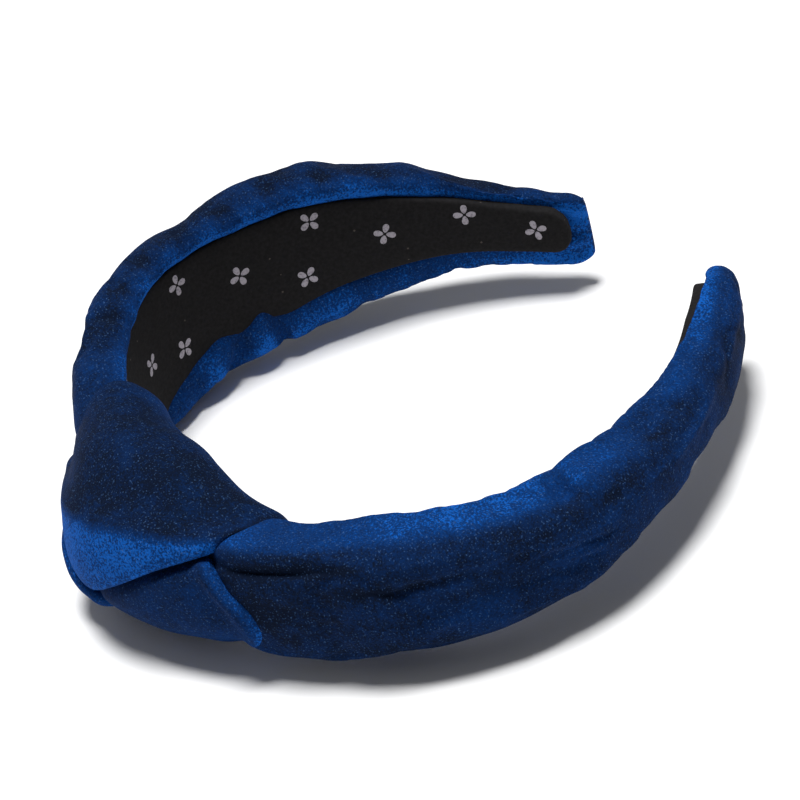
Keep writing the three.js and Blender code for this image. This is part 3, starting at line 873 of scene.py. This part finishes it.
def tuckShape(u, v):
    last = len(tuck["path"]) - 1
    along, degrees, reach = [
        through([(index / last, point[part]) for index, point in enumerate(tuck["path"])], u) for part in range(3)]
    thick = tuck["radius"] * np.sqrt(np.maximum(0.0, 1 - np.abs(2 * u - 1) ** 4))
    thick = thick * (1 + 0.08 * noise1(5, 40 * u, 4))
    around = 2 * np.pi * v
    outward = reach + thick * np.cos(around)
    turned = degrees + np.degrees(thick * 1.25 * np.sin(around) / reach)
    return knotPoint(along, turned, outward)


roll = makeTube("knotTuckedEdge", 60, 28, tuckShape, lambda u, v: tuck["napAndPaintedLight"] + 0 * u)
for piece in (fold, wrap, batting, roll):
    piece.data.materials.append(foam if piece is batting else velvet)
    finer(piece)
print("knot made")

# short stitches that close each tip
stitches = {"count": 6, "radius": 0.28, "long": 2.0, "at": 177.75, "spread": 0.86, "slant": 0.35}
for name, values in sleeves.items():
    bm = bmesh.new()
    top = float(through(values["top"], 178)) * stitches["spread"]
    bottom = float(through(values["bottom"], 178)) * stitches["spread"]
    depth = float(through(values["depth"], 178)) * 0.5
    for index in range(stitches["count"]):
        rise = bottom + (top - bottom) * (index + 0.5) / stitches["count"]
        made = bmesh.ops.create_uvsphere(bm, u_segments=10, v_segments=8, radius=1.0)
        for vert in made["verts"]:
            across = depth + vert.co.x * stitches["long"] / 2
            up = rise + vert.co.z * stitches["radius"] + vert.co.x * stitches["slant"]
            at = stitches["at"] + vert.co.y * stitches["radius"] - 0.3 * vert.co.x**2
            vert.co = place(values["side"], np.array([at]), np.array([across]), np.array([up]))[0]
    bmesh.ops.recalc_face_normals(bm, faces=bm.faces)
    mesh = bpy.data.meshes.new("tipStitches")
    bm.to_mesh(mesh)
    bm.free()
    mesh.shade_smooth()
    piece = bpy.data.objects.new("tipStitches" + name.capitalize(), mesh)
    bpy.context.collection.objects.link(piece)
    piece.data.materials.append(spunThread)
    pieces["tipStitches" + name.capitalize()] = piece
bpy.data.objects["knot_tack_thread"].material_slots[0].material = spunThread
print("stitches made")

# riding and standing for the CAD nodes: each piece takes a CAD node's place and the node is hidden, and the
# stitches and knot pieces ride on bodies; the arms' bend distances are listed, but nothing here bends
joining = {
    "bendFrom": 22.0, "bendTo": 60.0,
    "sleeveFill": 0.5, "padFill": 0.6,
    "liningCut": (0.069, 0.176), "liningArea": 0.0088,
}
for name, values in sleeves.items():
    capital = name.capitalize()
    start = place(values["side"], np.array([joining["bendFrom"]]), 0, 0)[0]
    end = place(values["side"], np.array([joining["bendTo"]]), 0, 0)[0]
    finer(pieces[name])
    bending = {
        name: ("sleeve_" + name, "velvet"),
        "lining" + capital: ("lining_wrap", "lining"),
        "hoop" + capital: ("hoop_core", "hoop"),
        "glue" + capital: ("glue_strip_" + name, "glue"),
        "pad" + capital: ("foam_pad_" + name, "foam"),
        "flowers" + capital: (None, "lining"),
    }
    for key, (node, slot) in bending.items():
        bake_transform(pieces[key])
        if node:
            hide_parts(node)
    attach(pieces["tipStitches" + capital], name + "_arm")
    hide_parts("tip_thread_" + name)
for piece, node in ((fold, "knot_fold"), (roll, "knot_fold"), (wrap, "knot_wrap"), (batting, "knot_batting")):
    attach(piece, "crown")
    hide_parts(node)
print("pieces joined to the frame")

# floor, light and camera: a soft key from almost straight above, and a weak fill
stage = {
    "floor": "#FFFFFF",
    "floorHalf": 3,
    "world": 0.15,
    "key": 3.7,
    "keySoft": 21,
    "keyFrom": (-0.045, 0.02, 0.85),
    "fill": 0.4,
    "fillFrom": (-0.8, 0.1, 0.5),
    "fillSize": 0.5,
}
bm = bmesh.new()
bmesh.ops.create_grid(bm, x_segments=1, y_segments=1, size=stage["floorHalf"])
floorMesh = bpy.data.meshes.new("floor")
bm.to_mesh(floorMesh)
bm.free()
floor = bpy.data.objects.new("floor", floorMesh)
bpy.context.collection.objects.link(floor)
floorMaterial, tree, shader = newMaterial("paleFloor")
shader.inputs["Base Color"].default_value = toLinear(stage["floor"])
shader.inputs["Roughness"].default_value = 0.9
floor.data.materials.append(floorMaterial)

world = bpy.data.worlds.new("studio")
bpy.context.scene.world = world
world.use_nodes = True
background = world.node_tree.nodes["Background"]
background.inputs["Color"].default_value = (1, 1, 1, 1)
seen = addNode(world.node_tree, "ShaderNodeLightPath", {}, {}).outputs["Is Camera Ray"]
glow = addNode(world.node_tree, "ShaderNodeMapRange", {}, {
    "Value": seen, "To Min": stage["world"], "To Max": 1.0})
world.node_tree.links.new(glow.outputs["Result"], background.inputs["Strength"])


# a lamp at a place, turned to shine on the origin
def hangLamp(name, data, position):
    lamp = bpy.data.objects.new(name, data)
    lamp.location = position
    lamp.rotation_euler = (-Vector(position)).to_track_quat("-Z", "Y").to_euler()
    bpy.context.collection.objects.link(lamp)


keyData = bpy.data.lights.new("key", "SUN")
keyData.energy = stage["key"]
keyData.angle = math.radians(stage["keySoft"])
hangLamp("key", keyData, stage["keyFrom"])
fillData = bpy.data.lights.new("fill", "AREA")
fillData.shape = "DISK"
fillData.size = stage["fillSize"]
fillData.energy = stage["fill"]
hangLamp("fill", fillData, stage["fillFrom"])

view = {
    "azimuth": 63.3,
    "elevation": 33.4,
    "roll": -14.7,
    "distance": 0.9269,
    "lens": 193.5,
    "target": (0.0, 0.06 + crownY * 0.001, hoopPlan["restHeight"] * 0.001),
    "shift": (-0.0064, -0.0104),
}
azimuth = math.radians(view["azimuth"])
elevation = math.radians(view["elevation"])
roll = math.radians(view["roll"])
level = math.cos(elevation)
back = Vector((math.sin(azimuth) * level, -math.cos(azimuth) * level, math.sin(elevation)))
right = Vector((math.cos(azimuth), math.sin(azimuth), 0))
up = back.cross(right)
turnedRight = right * math.cos(roll) + up * math.sin(roll)
turnedUp = up * math.cos(roll) - right * math.sin(roll)
lensData = bpy.data.cameras.new("camera")
lensData.lens = view["lens"]
lensData.shift_x, lensData.shift_y = view["shift"]
lensData.clip_end = 20
camera = bpy.data.objects.new("camera", lensData)
turn = Matrix((turnedRight, turnedUp, back)).transposed().to_4x4()
camera.matrix_world = Matrix.Translation(Vector(view["target"]) + back * view["distance"]) @ turn
bpy.context.collection.objects.link(camera)
bpy.context.scene.camera = camera
bpy.context.scene.view_settings.view_transform = "Standard"

print("floor, lights and camera made")
